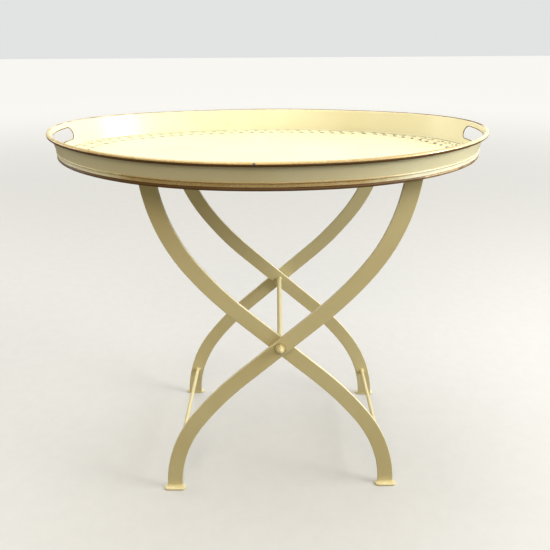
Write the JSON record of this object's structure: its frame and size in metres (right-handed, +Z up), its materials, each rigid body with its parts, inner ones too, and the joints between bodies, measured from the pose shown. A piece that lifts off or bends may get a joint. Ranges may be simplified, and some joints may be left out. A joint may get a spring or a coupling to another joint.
{
  "type": "folding tray table",
  "caption": "Oval metal tray table: a removable tray with a rolled rim and end hand-holds on a folding stand of crossed, S-shaped flat-bar legs.",
  "frame": {"origin": "on the floor, under the middle of the oval tray", "axes": "+Z up, X along the tray's long axis, Y along its short axis, front at -Y"},
  "size_m": [0.7998, 0.5658, 0.6895],
  "materials": {
    "tray_paint": "satin cream enamel with a painted leaf border",
    "gold_paint": "rubbed antique gold paint",
    "stand_paint": "satin cream enamel, slightly rubbed at the edges",
    "bare_steel": "plain steel, dulled"
  },
  "bodies": {
    "outer_frame": {"outer_front_leg": "stand_paint", "outer_rear_leg": "stand_paint", "outer_top_rod": "stand_paint", "outer_foot_rod": "stand_paint", "outer_front_foot": "stand_paint", "outer_rear_foot": "stand_paint", "pivot_rod": "stand_paint", "front_spacer_washer": "bare_steel", "rear_spacer_washer": "bare_steel", "front_nut_washer": "stand_paint", "rear_nut_washer": "stand_paint", "front_cap_nut": "stand_paint", "rear_cap_nut": "stand_paint"},
    "inner_frame": {"inner_front_leg": "stand_paint", "inner_rear_leg": "stand_paint", "inner_top_rod": "stand_paint", "inner_foot_rod": "stand_paint", "inner_front_foot": "stand_paint", "inner_rear_foot": "stand_paint"},
    "tray": {"tray_floor": "tray_paint", "tray_wall": "tray_paint", "rim_wire": "bare_steel", "base_moulding": "gold_paint", "left_hand_hold_edge": "gold_paint", "right_hand_hold_edge": "gold_paint", "left_front_lug": "tray_paint", "left_rear_lug": "tray_paint", "right_front_lug": "tray_paint", "right_rear_lug": "tray_paint"}
  },
  "joints": [
    {"name": "stand_fold", "type": "hinge", "parent": "outer_frame", "child": "inner_frame", "pos_m": [0.0205, 0, 0.313], "axis": [0, 1, 0], "range_deg": [0, 60]},
    {"name": "tray_lift", "type": "slide", "parent": "outer_frame", "child": "tray", "axis": [0, 0, 1], "range_m": [0, 0.32]}
  ],
  "couplings": [
    {"joint": "tray_lift", "follows": "stand_fold", "m_per_rad": 0.3}
  ]
}
